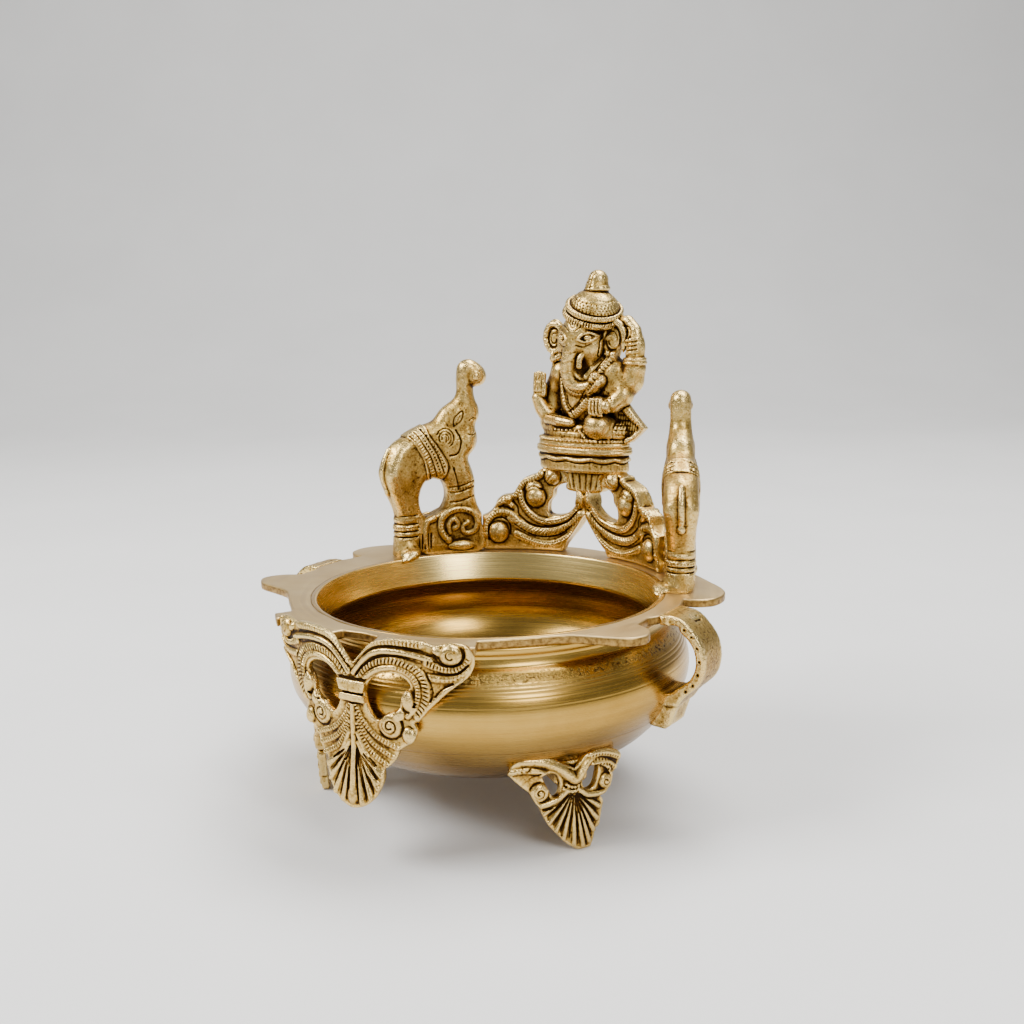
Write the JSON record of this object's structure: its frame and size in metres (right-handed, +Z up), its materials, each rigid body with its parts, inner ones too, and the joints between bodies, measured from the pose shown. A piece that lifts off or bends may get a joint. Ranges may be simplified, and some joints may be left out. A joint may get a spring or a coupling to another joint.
{
  "type": "footed bowl",
  "caption": "Brass urli bowl on palmette feet, with strap handles, a palmette front panel and a rim crest of elephants and a seated Ganesha.",
  "frame": {"origin": "on the floor, at the middle of the footprint's box, which is the middle of the rim casting; the turned bowl's axis stands 5 mm towards +X of it", "axes": "+Z up, -Y towards the palmette panel at the front, +Y towards the seated figure, +X to the right seen from the front"},
  "size_m": [0.205, 0.1794, 0.212],
  "materials": {
    "turned_brass": "lathe-turned satin with fine lines",
    "rim_brass": "filed flat and matt satin, with darker sawn edges",
    "cast_brass": "sand-cast, dark brown patina in the recesses, rubbed bright on the high parts"
  },
  "bodies": {
    "root": {"bowl_shell": "turned_brass", "rim_plate": "rim_brass", "front_panel": "cast_brass", "foot_right": "cast_brass", "foot_left": "cast_brass", "foot_back": "cast_brass", "handle_right": "cast_brass", "handle_left": "cast_brass", "elephant_left": "cast_brass", "elephant_right": "cast_brass", "scroll_left": "cast_brass", "scroll_right": "cast_brass", "pedestal": "cast_brass", "ganesha": "cast_brass"}
  },
  "joints": []
}
